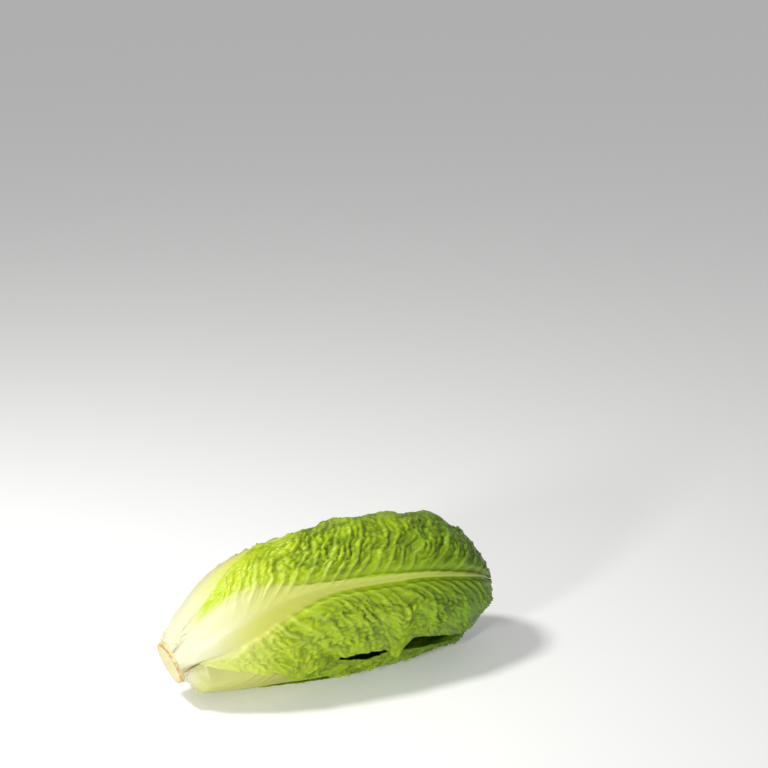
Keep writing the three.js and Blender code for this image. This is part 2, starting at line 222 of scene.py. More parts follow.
# Leaves from the innermost outward. turn: degrees from straight up, toward -Y. level: share of the envelope.
LEAF_KEYS = ("node", "turn", "start", "reach", "width", "level", "ripple", "rows", "columns", "slot")
LEAVES = [
    ("leaf_inner_a", 190, 41, 287, 38, 0.4, 1.6, 96, 54, "leaf_inner"),
    ("leaf_inner_b", 75, 38, 291, 42, 0.44, 1.6, 96, 54, "leaf_inner"),
    ("leaf_inner_c", 310, 35, 285, 46, 0.485, 1.6, 96, 54, "leaf_inner"),
    ("leaf_middle_a", 242, 30, 290, 52, 0.565, 2, 114, 68, "leaf_middle"),
    ("leaf_middle_b", 98, 28, 284, 54, 0.605, 2, 114, 68, "leaf_middle"),
    ("leaf_middle_c", 314, 26, 293, 58, 0.645, 2, 114, 68, "leaf_middle"),
    ("leaf_middle_d", 170, 24, 280, 60, 0.685, 2, 114, 68, "leaf_middle"),
    ("leaf_middle_e", 26, 22, 287, 62, 0.725, 2.4, 114, 68, "leaf_middle"),
    ("leaf_outer_back", 278, 10, 282, 70, 0.85, 3, 212, 132, "leaf_outer"),
    ("leaf_outer_low", 155, 9.6, 272, 70, 0.94, 0.8, 212, 132, "leaf_outer"),
    ("leaf_outer_top", 350, 9.2, 284, 74, 0.91, 2, 212, 132, "leaf_outer"),
    ("leaf_outer_under", 206, 10.4, 276, 72, 1, 0, 212, 132, "leaf_outer"),
    ("leaf_outer_front", 62, 8.4, 300, 79, 0.95, 1.4, 260, 170, "leaf_outer"),
]

# Heart
HEART_START = 61.5
HEART_PROFILE = [(61.5, 7.5), (68, 12), (85, 16), (150, 20), (235, 20), (280, 24), (315, 30)]
HEART_FOLDS = 5
HEART_FOLD_DEPTH = 0.13
HEART_TWIST = 0.9
HEART_RINGS = 150
HEART_COLUMNS = 160
HEART_CRUMPLE = 0.9
HEART_CELL_LENGTH = 7
HEART_CELL_DEGREES = 12
HEART_SMOOTH_TO = 90
HEART_SMOOTH_FROM = 262
HEART_LAP_WIDTH = 0.16

# Grid that remembers how far out the leaves laid so far reach, as a share of the envelope
STATION_STEP = 1.0
TURN_STEP = 1.0
SPREAD_CELLS = 3
STATIONS = int(POLE_STATION / STATION_STEP) + 1
TURNS = int(360 / TURN_STEP)
MARGIN_ALLOWANCE = 0.04
END_ALLOWANCE = 0.01

# Colours as hex codes. A leaf's are its blade near the stem, its middle and tip, its rib and the painted
# shade of its creases
LEAF_COLOURS = {
    "leaf_outer": ("outer_leaf", "c6d810", "aed008", "6c9e06", "e2e0c4", "335f03"),
    "leaf_middle": ("middle_leaf", "c6da30", "9ac018", "6a9e0a", "e9e7c4", "5c8c08"),
    "leaf_inner": ("inner_leaf", "dce468", "bcd242", "90b82c", "e9e7c6", "a4c032"),
}
NEAR_VEIN_COLOUR = "dcea74"
FAR_VEIN_COLOUR = "aacb38"
YOUNG_COLOUR = "dbe27c"
RIB_COLOURS = [("d6d972", 0.0, 0.26), ("d2de68", 0.25, 0.5), ("c2d45a", 0.6, 0.95)]
STREAK_COLOUR = "d3dc78"
# Yellower colour of the rib's side in shade: partly the rib's own tint and partly painted shade
SHADED_RIB_COLOUR = "dce05c"
UNDERSIDE_SHADE_COLOUR = "c4c763"
# Painted shade: the rib and stalk of the leaves that lie lowest get a yellower tint
UNDERSIDE_SHADE = {"leaf_outer_low": 0.75, "leaf_outer_under": 0.75}
STAIN_COLOUR = "b08a4c"
FLESH_COLOURS = ("cbc085", "d6cc9a")
PITH_COLOUR = "d9c98a"
BROWNED_COLOURS = ("cf8a26", "93571a")

# Surface of a leaf
GLOSS = 0.13
GLOSS_SPREAD = 0.2
RIB_DULLNESS = 0.16
LEAF_SPECULAR = 0.4
SEE_THROUGH = 0.16
# How strongly the painted shade darkens the creases
CREASE_SHADE_STRENGTH = 0.86

# Floor, in metres and linear colours
FLOOR_HALF = 20.0
FLOOR_LIGHT = (0.9, 0.9, 0.9, 1.0)
FLOOR_DARK = (0.7, 0.7, 0.7, 1.0)
FLOOR_GLOW = 0.2

# Camera, fitted to the photograph's frame of 768 pixels. AIM_POINT is in the head's millimetres
PHOTO_SIZE = 768
FOCAL_PIXELS = 2064
CAMERA_TURN = -29.0
CAMERA_PITCH = 16.6
CAMERA_DISTANCE = 1.618
CAMERA_REACH = 50
AIM_POINT = (140, 0, 58)
AIM_PIXEL = (326, 598.5)
SENSOR_WIDTH = 36.0

# Soft lights, in metres and watts
LIGHT_TARGET = (0.02, 0, 0.05)
WORLD_STRENGTH = 0.27
KEY_LIGHT = {"position": (-0.6, 0.2, 1.1), "size": 0.24, "power": 10.8, "colour": (1.0, 0.99, 0.96)}
FRONT_LIGHT = {"position": (-1.3, -0.85, 0.45), "size": 0.22, "power": 15, "colour": (1.0, 1.0, 1.0)}

# Noise: its seed and the number of lattice points along each side
SEED = 11
LATTICE = 128


# Small mathematics
def smooth_step(value):
    share = np.clip(value, 0, 1)
    return share * share * (3 - 2 * share)


def along(table, position):
    """Smooth curve through a short table of (position, value) pairs."""
    places, values = np.array(table, float).T
    slopes = np.empty(len(places))
    slopes[1:-1] = (values[2:] - values[:-2]) / (places[2:] - places[:-2])
    slopes[0] = (values[1] - values[0]) / (places[1] - places[0])
    slopes[-1] = (values[-1] - values[-2]) / (places[-1] - places[-2])
    position = np.clip(position, places[0], places[-1])
    k = np.clip(np.searchsorted(places, position, side="right") - 1, 0, len(places) - 2)
    span = places[k + 1] - places[k]
    w = (position - places[k]) / span
    rise = values[k + 1] - values[k]
    first = slopes[k] * span
    last = slopes[k + 1] * span
    cubic = first + last - 2 * rise
    square = 3 * rise - 2 * first - last
    return values[k] + w * (first + w * (square + w * cubic))


def noise(x, y, seed):
    """Smooth noise from -1 to 1 with features about one unit wide, so x / 7 makes them 7 mm long."""
    lattice = np.random.default_rng(SEED + seed).uniform(-1, 1, (LATTICE, LATTICE))
    x0 = np.floor(x).astype(int)
    y0 = np.floor(y).astype(int)
    u = smooth_step(x - x0)
    v = smooth_step(y - y0)
    corner = lambda i, j: lattice[(x0 + i) % LATTICE, (y0 + j) % LATTICE]
    near = corner(0, 0) * (1 - u) + corner(1, 0) * u
    far = corner(0, 1) * (1 - u) + corner(1, 1) * u
    return near * (1 - v) + far * v


def cells(x, y, seed):
    """Cell pattern: 0 on the borders between cells, rising to about 1 in their middles."""
    shifts = np.random.default_rng(SEED + seed).uniform(0.1, 0.9, (2, LATTICE, LATTICE))
    x0 = np.floor(x).astype(int)
    y0 = np.floor(y).astype(int)
    first = np.full(np.shape(x), np.inf)
    second = np.full(np.shape(x), np.inf)
    for i in (-1, 0, 1):
        for j in (-1, 0, 1):
            a = (x0 + i) % LATTICE
            b = (y0 + j) % LATTICE
            distance = np.hypot(x0 + i + shifts[0, a, b] - x, y0 + j + shifts[1, a, b] - y)
            second = np.minimum(second, np.maximum(first, distance))
            first = np.minimum(first, distance)
    return smooth_step((second - first) * 1.7)


def line_distance(phase, spacing):
    """Distance from the nearest of a row of lines, halfway between whole numbers of the phase."""
    return np.abs(phase - np.floor(phase) - 0.5) * spacing


def pillows(course, across, length, seed):
    """Rows of raised patches along the side veins: 0 in the creases between them, up to 1 on the patches."""
    drift = ROW_DRIFT * noise(across / 7, length / 9, seed)
    fine_drift = FINE_ROW_DRIFT * noise(across / 3.5, length / 4, seed + 45)
    row_place = (course + (drift + fine_drift)) / PILLOW_WIDTH
    row = np.floor(row_place)
    stretch = 1 + PILLOW_STRETCH * noise(row, row * 0, seed + 40)
    jog = PILLOW_JOG * noise(across / 5, course / 3.5, seed + 41)
    row_jog = ROW_JOG * noise(row, row * 0 + 7, seed + 42)
    patch_place = (across + (jog + row_jog)) / (PILLOW_LENGTH * stretch)
    patch = np.floor(patch_place)
    rise = 1 - PILLOW_UNEVENNESS + PILLOW_UNEVENNESS * noise(row, patch, seed + 43)
    over_row = np.sin(math.pi * (row_place - row))
    over_patch = np.sin(math.pi * (patch_place - patch))
    return rise * (over_row ** 0.75) * (over_patch ** 0.6)


# The head's own coordinates
def spine_height(x):
    low = NECK_DROP * np.maximum(1 - x / NECK_REACH, 0) ** NECK_CURVE
    tip = TIP_DROP * np.maximum((x - TIP_DROP_FROM) / TIP_REACH, 0) ** 2
    return BELLY_HEIGHT - low - tip


def crown_angle(station):
    return np.clip((station - CROWN_STATION) / (POLE_STATION - CROWN_STATION), 0, 1) * math.pi / 2


def place(station, turn, height):
    """Point of the head in millimetres; near the stem's end the cross-sections tilt as the cut does."""
    lean = crown_angle(station)
    radius = height * np.cos(lean)
    rise = radius * np.cos(np.radians(turn))
    tilt = CUT_TILT * (1 - smooth_step((station - CUT_STATION) / CUT_TILT_REACH))
    x = np.minimum(station, CROWN_STATION) + height * np.sin(lean) - rise * tilt
    y = -radius * np.sin(np.radians(turn))
    return np.stack(np.broadcast_arrays(x, y, rise + spine_height(x)), axis=-1)


def down_share(station, turn):
    """Share of a ray's length that points down."""
    return -np.cos(np.radians(turn)) * np.cos(crown_angle(station))


def table_distance(station, turn):
    """Length of a ray from the middle line to the table."""
    down = down_share(station, turn)
    x = np.minimum(station, CROWN_STATION) + along(ENVELOPE, station) * np.sin(crown_angle(station))
    distance = spine_height(x) / np.maximum(down, LEAST_DOWN_SHARE)
    return np.where(down < LEAST_DOWN_SHARE, NO_TABLE, distance)


def envelope_at(station, turn):
    """Radius of the closed head, flattened where it lies on the table."""
    return np.minimum(along(ENVELOPE, station), table_distance(station, turn))


# The frame's origin lies under the middle of the head; the stem's box ties it to the head's own coordinates
stem_low, stem_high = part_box("stem")
FRAME_SHIFT = np.array([STEM_END - stem_high[0] * 1000, -(stem_low[1] + stem_high[1]) * 500, 0.0])


def to_frame(points):
    """Head coordinates in millimetres to the frame's metres, never below the table."""
    moved = (points - FRAME_SHIFT) / 1000
    moved[..., 2] = np.maximum(moved[..., 2], 0)
    return moved


# Meshes
def make_object(name, points, faces, attributes):
    mesh = bpy.data.meshes.new(name)
    mesh.vertices.add(len(points))
    mesh.vertices.foreach_set("co", points.astype(np.float32).ravel())
    mesh.loops.add(faces.size)
    mesh.loops.foreach_set("vertex_index", faces.astype(np.int32).ravel())
    mesh.polygons.add(len(faces))
    mesh.polygons.foreach_set("loop_start", np.arange(0, faces.size, faces.shape[1], dtype=np.int32))
    mesh.update(calc_edges=True)
    mesh.validate()
    mesh.polygons.foreach_set("use_smooth", np.ones(len(mesh.polygons), dtype=bool))
    for key, values in attributes.items():
        if values.ndim == 2:
            layer = mesh.attributes.new(key, "FLOAT_VECTOR", "POINT")
            layer.data.foreach_set("vector", values.astype(np.float32).ravel())
        else:
            layer = mesh.attributes.new(key, "FLOAT", "POINT")
            layer.data.foreach_set("value", values.astype(np.float32))
    piece = bpy.data.objects.new(name, mesh)
    bpy.context.scene.collection.objects.link(piece)
    return piece


def sheet_faces(rows, columns):
    """Quads of a closed thin body: outer grid, inner grid and the edge between them."""
    index = np.arange(rows * columns).reshape(rows, columns)
    under = index + rows * columns

    def quads(a, b, c, d):
        return np.stack([a.ravel(), b.ravel(), c.ravel(), d.ravel()], axis=1)

    parts = [
        quads(index[:-1, :-1], index[1:, :-1], index[1:, 1:], index[:-1, 1:]),
        quads(under[:-1, :-1], under[:-1, 1:], under[1:, 1:], under[1:, :-1]),
        quads(index[:-1, 0], under[:-1, 0], under[1:, 0], index[1:, 0]),
        quads(index[:-1, -1], index[1:, -1], under[1:, -1], under[:-1, -1]),
        quads(index[0, :-1], index[0, 1:], under[0, 1:], under[0, :-1]),
        quads(index[-1, :-1], under[-1, :-1], under[-1, 1:], index[-1, 1:]),
    ]
    return np.concatenate(parts)[:, ::-1]


# Cover grid
def spread_along(field, axis, pick):
    shifted = []
    for n in range(-SPREAD_CELLS, SPREAD_CELLS + 1):
        moved = np.roll(field, n, axis=axis)
        if axis == 0 and n > 0:
            moved[:n] = field[:1]
        if axis == 0 and n < 0:
            moved[n:] = field[-1:]
        shifted.append(moved)
    return pick(np.array(shifted), axis=0)


def guide_over(cover):
    """Smooth surface that clears everything laid so far."""
    guide = spread_along(spread_along(cover, 0, np.max), 1, np.max)
    return spread_along(spread_along(guide, 0, np.mean), 1, np.mean)


def sample(field, station, turn):
    i = np.clip(station / STATION_STEP, 0, STATIONS - 1.001)
    j = turn / TURN_STEP
    i0 = np.floor(i).astype(int)
    j0 = np.floor(j).astype(int)
    u = i - i0
    v = j - j0
    near = field[i0, j0 % TURNS] * (1 - v) + field[i0, (j0 + 1) % TURNS] * v
    far = field[i0 + 1, j0 % TURNS] * (1 - v) + field[i0 + 1, (j0 + 1) % TURNS] * v
    return near * (1 - u) + far * u


# One leaf: v runs from -1 at one margin over 0 at the rib to 1 at the other margin
def leaf_level(leaf, station):
    gather = smooth_step((station - GATHER_FROM) / (POLE_STATION - GATHER_FROM))
    return leaf["level"] + (1 - leaf["level"]) * TIP_GATHER * gather


def leaf_length(leaf):
    return leaf["reach"] - leaf["start"]


def base_blend(leaf):
    """How far a leaf runs along the stem before it has swung out to its own level."""
    if leaf["level"] < OUTER_LEVEL:
        return BASE_BLEND
    lower = LOWER_TURNS[0] < leaf["turn"] < LOWER_TURNS[1]
    return LOWER_BASE_BLEND if lower else OUTER_BASE_BLEND


def ragged_share(leaf, share):
    """How ragged a margin is: smooth at the petiole and again at the tip."""
    start = RAGGED_FROM.get(leaf["node"], USUAL_RAGGED_FROM)
    return smooth_step((share - start) * 6) * (1 - 0.8 * smooth_step((share - RAGGED_TO + 0.1) / 0.12))


def flat_width(leaf, share):
    """Half of the leaf's width in millimetres, without the waves and steps of its margins."""
    return along(OUTLINE, share) * leaf["width"]


def rib_half_width(leaf, share):
    return along(RIB_HALF_WIDTH, share) * leaf["width"] / WIDEST_LEAF * WIDE_RIB.get(leaf["node"], 1)


def half_width(leaf, share, side):
    """Width in millimetres from the rib to one margin, with its waves and teeth."""
    rounding = np.clip((share - TIP_ROUNDING_FROM) / (1 - TIP_ROUNDING_FROM), 0, 1)
    closing = np.maximum(np.sqrt(1 - rounding * rounding), TIP_END_WIDTH)
    length = share * leaf_length(leaf)
    key = leaf["turn"] + 40 * side
    wave = WAVE_DEPTH * noise(length / WAVE_LENGTH, key * 0.37 + length * 0, 1)
    tooth = TOOTH_DEPTH * noise(length / TOOTH_LENGTH, key * 0.61 + length * 0, 2)
    step = 0.0
    if leaf["node"] in MARGIN_STEPS:
        before, after = MARGIN_STEPS[leaf["node"]]
        step = np.where(side < 0, along(before, share), along(after, share))
    ragged = (wave + tooth) * ragged_share(leaf, share) + step
    return (flat_width(leaf, share) + ragged) * closing


def half_angle(leaf, share, station, side):
    radius = leaf_level(leaf, station) * along(ENVELOPE, station) * np.cos(crown_angle(station))
    angle = np.degrees(half_width(leaf, share, side) / np.maximum(radius, LEAST_RADIUS))
    return np.minimum(angle, MOST_HALF_ANGLE)


def leaf_turn(leaf, share, station, v):
    rib_turn = leaf["turn"] + along(RIB_SWAY, station)
    if leaf["node"] in RIB_TWIST:
        rib_turn = rib_turn + along(RIB_TWIST[leaf["node"]], station)
    return rib_turn + v * half_angle(leaf, share, station, np.sign(v))


def place_across(leaf, share, station, turn):
    """A turn's own v on the leaf, which may lie past its margins."""
    away = (turn - leaf_turn(leaf, share, station, np.zeros_like(station)) + 540) % 360 - 180
    return away / half_angle(leaf, share, station, np.where(away < 0, -1.0, 1.0))


def under_front(leaf, station, turn):
    """How far a place is hidden under the front leaf, which flattens what lies there."""
    front = dict(zip(LEAF_KEYS, LEAVES[-1]))
    if leaf["node"] == front["node"]:
        return 0.0
    share = np.clip((station - front["start"]) / leaf_length(front), 0, 1)
    v = place_across(front, share, station, turn)
    return 1 - smooth_step((np.abs(v) - HIDDEN_WITHIN) / HIDDEN_FADE)


# Relief of the blade, from a point's place on the flat leaf: length and across, from the base and the rib
def vein_course(length, across, side, seed):
    """Where along the rib the side vein through a point leaves it, with some wander."""
    sweep = VEIN_SWEEP_NEAR * (1 - np.exp(-across / VEIN_SWEEP_NEAR_LENGTH)) + VEIN_SWEEP_FAR * across
    wander = VEIN_WANDER * noise(length / 23, side * 3 + across / 20, seed + 3)
    fine_wander = FINE_VEIN_WANDER * noise(length / 9, side * 7 + across / 9, seed + 12)
    return length - sweep + (wander + fine_wander) + side * VEIN_STAGGER * VEIN_SPACING


def vein_fade(course, across, side, share, v, seed):
    """Strength of the side veins: each has its own, and they fade toward the margin and the stem."""
    strength = 0.62 + 0.38 * noise(np.floor(course / VEIN_SPACING) * 1.7, side * 9 + across / 30, seed + 13)
    return np.exp(-((np.abs(v) / VEIN_REACH) ** 3)) * smooth_step((share - 0.06) / 0.12) * strength


def minor_veins(course, length, across, beside, share, seed):
    """Thin lines between the side veins, close to the rib only."""
    phase = course / MINOR_SPACING + 0.4 * noise(length / 9, across / 9, seed + 4)
    line = np.exp(-((line_distance(phase, MINOR_SPACING) / MINOR_WIDTH) ** 2))
    return line * np.exp(-beside / MINOR_REACH) * smooth_step((share - 0.1) / 0.1)


def crumple_share(leaf, share, blade, beside, edge, uneven):
    """How far the blade has grown out of its smooth base, and how strongly it is crumpled."""
    smooth_from, smooth_to = SMOOTH_BASE.get(leaf["node"], USUAL_SMOOTH_BASE)
    grown = smooth_step((share - smooth_from) / (smooth_to - smooth_from))
    beside_rib = 0.25 + 0.75 * smooth_step((beside - 4) / 20)
    crumple = blade * grown * beside_rib * uneven * (1 - (1 - EDGE_RELIEF) * edge)
    return grown, crumple * (1 - (1 - TIP_RELIEF) * smooth_step((share - 0.82) / 0.15))


def blade_relief(leaf, share, v):
    """Heights of the blade's relief and of its veins, and the masks that its colours follow, among them the
    painted shade of its hollows.
    """
    seed = int(leaf["turn"])
    side = np.sign(v)
    length = share * leaf_length(leaf)
    across = np.abs(v) * along(OUTLINE, share) * leaf["width"]
    rib_half = rib_half_width(leaf, share)
    beside = np.maximum(across - rib_half * RIB_FLANK, 0)
    course = vein_course(length, across, side, seed)
    offset = line_distance(course / VEIN_SPACING, VEIN_SPACING)
    fade = vein_fade(course, across, side, share, v, seed)
    off_rib = smooth_step((across / rib_half - np.where(side < 0, 0.35, 0.8)) / 0.4)
    breadth = VEIN_WIDTH * (0.75 + 1.5 * np.exp(-beside / 13))
    vein = np.exp(-((offset / breadth) ** 2)) * fade * (0.3 + 0.7 * off_rib)
    minor = minor_veins(course, length, across, beside, share, seed) * off_rib

    blade = smooth_step(beside / BLADE_FROM) * smooth_step((share - 0.035) / 0.05)
    edge = smooth_step((np.abs(v) - EDGE_FROM) / EDGE_FADE)
    uneven = 0.65 + 0.35 * noise(length / 17, across / 17 + side * 9, seed + 9)
    grown, crumple = crumple_share(leaf, share, blade, beside, edge, uneven)
    pillow = pillows(course, across + side * 300, length, seed + 5)
    fold_place = course / 9 + 0.3 * noise(length / 7, across / 7, seed + 16)
    fold = np.abs(noise(fold_place, across / 17 + side * 7, seed + 8))
    crease = np.abs(noise(course / 2.6, across / 3.8 + side * 40, seed + 17))
    crease = crease * (0.5 + 0.5 * noise(length / 11, across / 11, seed + 18)) * (1 - edge)
    quilt = smooth_step(offset / QUILT_EDGE) * fade
    swell = noise(length / SWELL_LENGTH, side * 5 + across / SWELL_LENGTH, seed + 10)
    groove = np.exp(-(((across - rib_half * GROOVE_PLACE) / GROOVE_WIDTH) ** 2))

    relief = crumple * (PILLOW_HEIGHT * pillow + FOLD_HEIGHT * fold + CREASE_HEIGHT * crease)
    relief += QUILT_HEIGHT * blade * (fade - quilt)
    relief += SWELL_HEIGHT * blade * grown * (0.5 + 0.5 * swell)
    relief -= GROOVE_DEPTH * groove * smooth_step((share - 0.1) / 0.3)
    ridge = VEIN_HEIGHT * vein + MINOR_HEIGHT * minor
    # Painted shade: mask for a darker green, high in the hollows between the raised patches
    low = (1 - smooth_step((pillow + 0.8 * fold + 0.3 * crease) / 1.05)) * smooth_step(beside / 12)
    return relief, ridge, {"vein": vein, "minor": minor, "crease_shade_mask": low, "blade": blade}


def rib_shape(leaf, share, v):
    """Share of the rib's height at a point: 1 along its crest, falling off to both sides."""
    tent = (v * along(OUTLINE, share) * leaf["width"] / rib_half_width(leaf, share)) ** 2
    return np.exp(-RIB_SHARPNESS * (np.sqrt(tent + RIB_CREST) - math.sqrt(RIB_CREST)))


def margin_height(leaf, share, v):
    """Ripples and the fine frill that lift a margin off what lies below it."""
    rippled = np.abs(v) ** 3 * smooth_step(share * 3)
    ripple_wave = 0.5 + 0.5 * np.sin(2 * math.pi * MARGIN_RIPPLES * share + v + leaf["turn"])
    length = share * leaf_length(leaf)
    frill_wave = 0.5 + 0.5 * noise(length / FRILL_LENGTH, np.sign(v) * 4 + v * 0, int(leaf["turn"]) + 11)
    frill = FRILL_HEIGHT * np.abs(v) ** 12 * frill_wave * ragged_share(leaf, share)
    return leaf["ripple"] * rippled * ripple_wave, frill * min(leaf["ripple"], 1)


def most_hug_at(leaf, station):
    """How far a margin may sink toward what lies below it, more near the stem's end."""
    usual = LOOSE_HUG.get(leaf["node"], USUAL_HUG)
    base_share = 1 - smooth_step((station - BASE_HUG_FROM) / BASE_HUG_REACH)
    return usual + (BASE_HUG - usual) * base_share


def leaf_faces(leaf, guide, share, station, turn, v):
    """Heights of a leaf's inner and outer face along the rays, and its masks."""
    envelope = envelope_at(station, turn)
    size = leaf["width"] / WIDEST_LEAF
    rib_profile = rib_shape(leaf, share, v)
    thickness = BLADE_THICKNESS + along(RIB_HEIGHT, share) * (0.55 + 0.45 * size) * rib_profile
    stem_top = along(STEM_PROFILE, station) + STEM_GAP
    blend = smooth_step((station - leaf["start"]) / base_blend(leaf))
    target = (stem_top + thickness) * (1 - blend) + leaf_level(leaf, station) * envelope * blend
    laid = np.maximum(sample(guide, station, turn) * envelope + LAYER_GAP, stem_top)
    pressed = smooth_step((down_share(station, turn) - PRESSED_DOWN_SHARE) / PRESSED_FADE)
    pressed = pressed * smooth_step((station - PRESSED_FROM) / PRESSED_REACH)
    hug = MARGIN_HUG * smooth_step((np.abs(v) - 0.4) / 0.55) * (1 - pressed)
    target = target - np.clip(hug * (target - laid - thickness), 0, most_hug_at(leaf, station))
    bulge = along(RIB_BULGE, share) * size * rib_profile
    inner = np.maximum(target + bulge - thickness, laid)
    relief, ridge, masks = blade_relief(leaf, share, v)
    shown = INNER_RELIEF + (1 - INNER_RELIEF) * min(leaf["level"], 1)
    relief = relief * shown * (1 - (1 - HIDDEN_RELIEF) * under_front(leaf, station, turn))
    ripple, frill = margin_height(leaf, share, v)
    inner = inner + ripple + frill + relief
    inner = np.minimum(inner, table_distance(station, turn) - thickness)
    return inner, inner + thickness + ridge, {"rib": rib_profile, **masks}


def build_leaf(leaf, guide):
    step = np.linspace(0, 1, leaf["rows"] + 1)[:, None]
    share = step - ROW_CROWDING * np.sin(2 * math.pi * step)
    station = leaf["start"] + leaf_length(leaf) * share
    v = np.linspace(-1, 1, leaf["columns"] + 1)[None, :]
    share, station, v = np.broadcast_arrays(share, station, v)
    turn = leaf_turn(leaf, share, station, v)
    inner, outer, masks = leaf_faces(leaf, guide, share, station, turn, v)
    grids = np.stack([place(station, turn, outer), place(station, turn, inner)])
    points = to_frame(grids.reshape(-1, 3))
    both = lambda values: np.concatenate([values.ravel(), values.ravel()])
    length = share * leaf_length(leaf)
    across = v * along(OUTLINE, share) * leaf["width"]
    depth = np.concatenate([np.zeros(outer.size), np.full(outer.size, 50.0)])
    attributes = {key: both(values) for key, values in masks.items()}
    attributes["share"] = both(share)
    attributes["margin"] = both(np.abs(v))
    # Share of painted shade that yellows this leaf's rib and stalk
    attributes["underside_shade"] = np.full(depth.shape, UNDERSIDE_SHADE.get(leaf["node"], 0.0))
    attributes["leaf_place"] = np.stack([both(length), both(across), depth], axis=1)
    faces = sheet_faces(leaf["rows"] + 1, leaf["columns"] + 1)
    return make_object(leaf["node"] + "_skin", points, faces, attributes)


def cover_grid():
    """Station and turn of every cell of the cover grid."""
    stations = np.arange(STATIONS) * STATION_STEP
    return np.meshgrid(stations, np.arange(TURNS) * TURN_STEP, indexing="ij")


def cover_with_leaf(cover, leaf, guide):
    station, turn = cover_grid()
    share = (station - leaf["start"]) / leaf_length(leaf)
    inside = np.clip(share, 0, 1)
    v = place_across(leaf, inside, station, turn)
    along_leaf = (share > -END_ALLOWANCE) & (share < 1 + END_ALLOWANCE)
    under = (np.abs(v) < 1 + MARGIN_ALLOWANCE) & along_leaf
    outer = leaf_faces(leaf, guide, inside, station, turn, np.clip(v, -1, 1))[1]
    cover[under] = np.maximum(cover, outer / envelope_at(station, turn))[under]


# Heart: a bud whose outline steps like rolled leaves
def heart_lap(station, turn):
    """Place across one of the heart's rolled leaves, from 0 to 1."""
    lap = turn / 360 * HEART_FOLDS + HEART_TWIST * station / POLE_STATION
    return lap - np.floor(lap)


def heart_radius(station, turn):
    fold = HEART_FOLD_DEPTH * smooth_step((station - HEART_START) / 30) * np.cos(crown_angle(station))
    return along(HEART_PROFILE, station) * (1 - fold * heart_lap(station, turn))


def with_ends(grid, start, end):
    """A grid's values followed by those of the middle points at both ends."""
    return np.concatenate([grid.ravel(), [start, end]])


def build_heart(cover):
    station = np.linspace(HEART_START, POLE_STATION - 0.5, HEART_RINGS)[:, None]
    turn = (np.arange(HEART_COLUMNS) * 360 / HEART_COLUMNS)[None, :]
    station, turn = np.broadcast_arrays(station, turn)
    crumpled = smooth_step((station - HEART_SMOOTH_TO) / 60)
    crumpled = crumpled * (1 - smooth_step((station - HEART_SMOOTH_FROM) / 30))
    crumple = 1 - (1 - cells(station / HEART_CELL_LENGTH, turn / HEART_CELL_DEGREES, 30)) * crumpled
    radius = heart_radius(station, turn) - HEART_CRUMPLE * (1 - crumple)
    points = place(station, turn, radius).reshape(-1, 3)
    ends = np.array([place(HEART_START, 0.0, 0.0), place(POLE_STATION, 0.0, radius[-1].mean())])
    share = (station - HEART_START) / (POLE_STATION - HEART_START)
    rib = np.exp(-(((heart_lap(station, turn) - 0.5) / HEART_LAP_WIDTH) ** 2))
    rib = rib * (1 - smooth_step(share * 1.2))
    place_on = np.stack([station.ravel(), turn.ravel() / 3, np.zeros(station.size)], axis=1)
    attributes = {key: np.zeros(station.size + 2) for key in ("vein", "minor", "margin", "underside_shade")}
    attributes["rib"] = with_ends(rib, 0, 0)
    # Mask of the painted crease shade on the heart, set by its crumple
    attributes["crease_shade_mask"] = with_ends(crumple, 1, 1)
    attributes["blade"] = np.ones(station.size + 2)
    attributes["share"] = with_ends(share, 0, 1)
    attributes["leaf_place"] = np.concatenate([place_on, np.zeros((2, 3))])
    grid_station, grid_turn = cover_grid()
    reached = heart_radius(grid_station, grid_turn) / envelope_at(grid_station, grid_turn)
    cover[:] = np.where(grid_station >= HEART_START, reached, cover)
    faces = ring_faces(HEART_RINGS, HEART_COLUMNS)
    return make_object("heart_skin", to_frame(np.concatenate([points, ends])), faces, attributes)


def ring_faces(rows, columns):
    """Triangles of a closed body of rings with a middle point at each end."""
    index = np.arange(rows * columns).reshape(rows, columns)
    after = np.roll(index, -1, axis=1)
    a, b, c, d = index[:-1], after[:-1], after[1:], index[1:]
    start, end = rows * columns, rows * columns + 1

    def triangles(p, q, r):
        return np.stack(np.broadcast_arrays(p, q, r), axis=-1).reshape(-1, 3)

    return np.concatenate([
        triangles(a, c, d), triangles(a, b, c),
        triangles(start, after[0], index[0]), triangles(end, index[-1], after[-1]),
    ])


def cut_ring(share, turn):
    """Station and radius of one ring of the cut face, from its middle (0) to its rim (1)."""
    lip = CUT_BEVEL * smooth_step((share - 0.93) / 0.07)
    rough = CUT_ROUGHNESS * noise(turn / 9, share * 9 + turn * 0, 40)
    station = CUT_STATION - CUT_CROWN * (1 - share) + lip * 0.6 + rough * share
    return station, along(STEM_PROFILE, CUT_STATION) * share


def side_ring(station, turn):
    """Station and radius of one ring of the stem's side."""
    crease = STEM_CREASE * noise(turn / 14, station / 30 + turn * 0, 41) * smooth_step((station - 6) / 5)
    return station + turn * 0, along(STEM_PROFILE, station) + crease


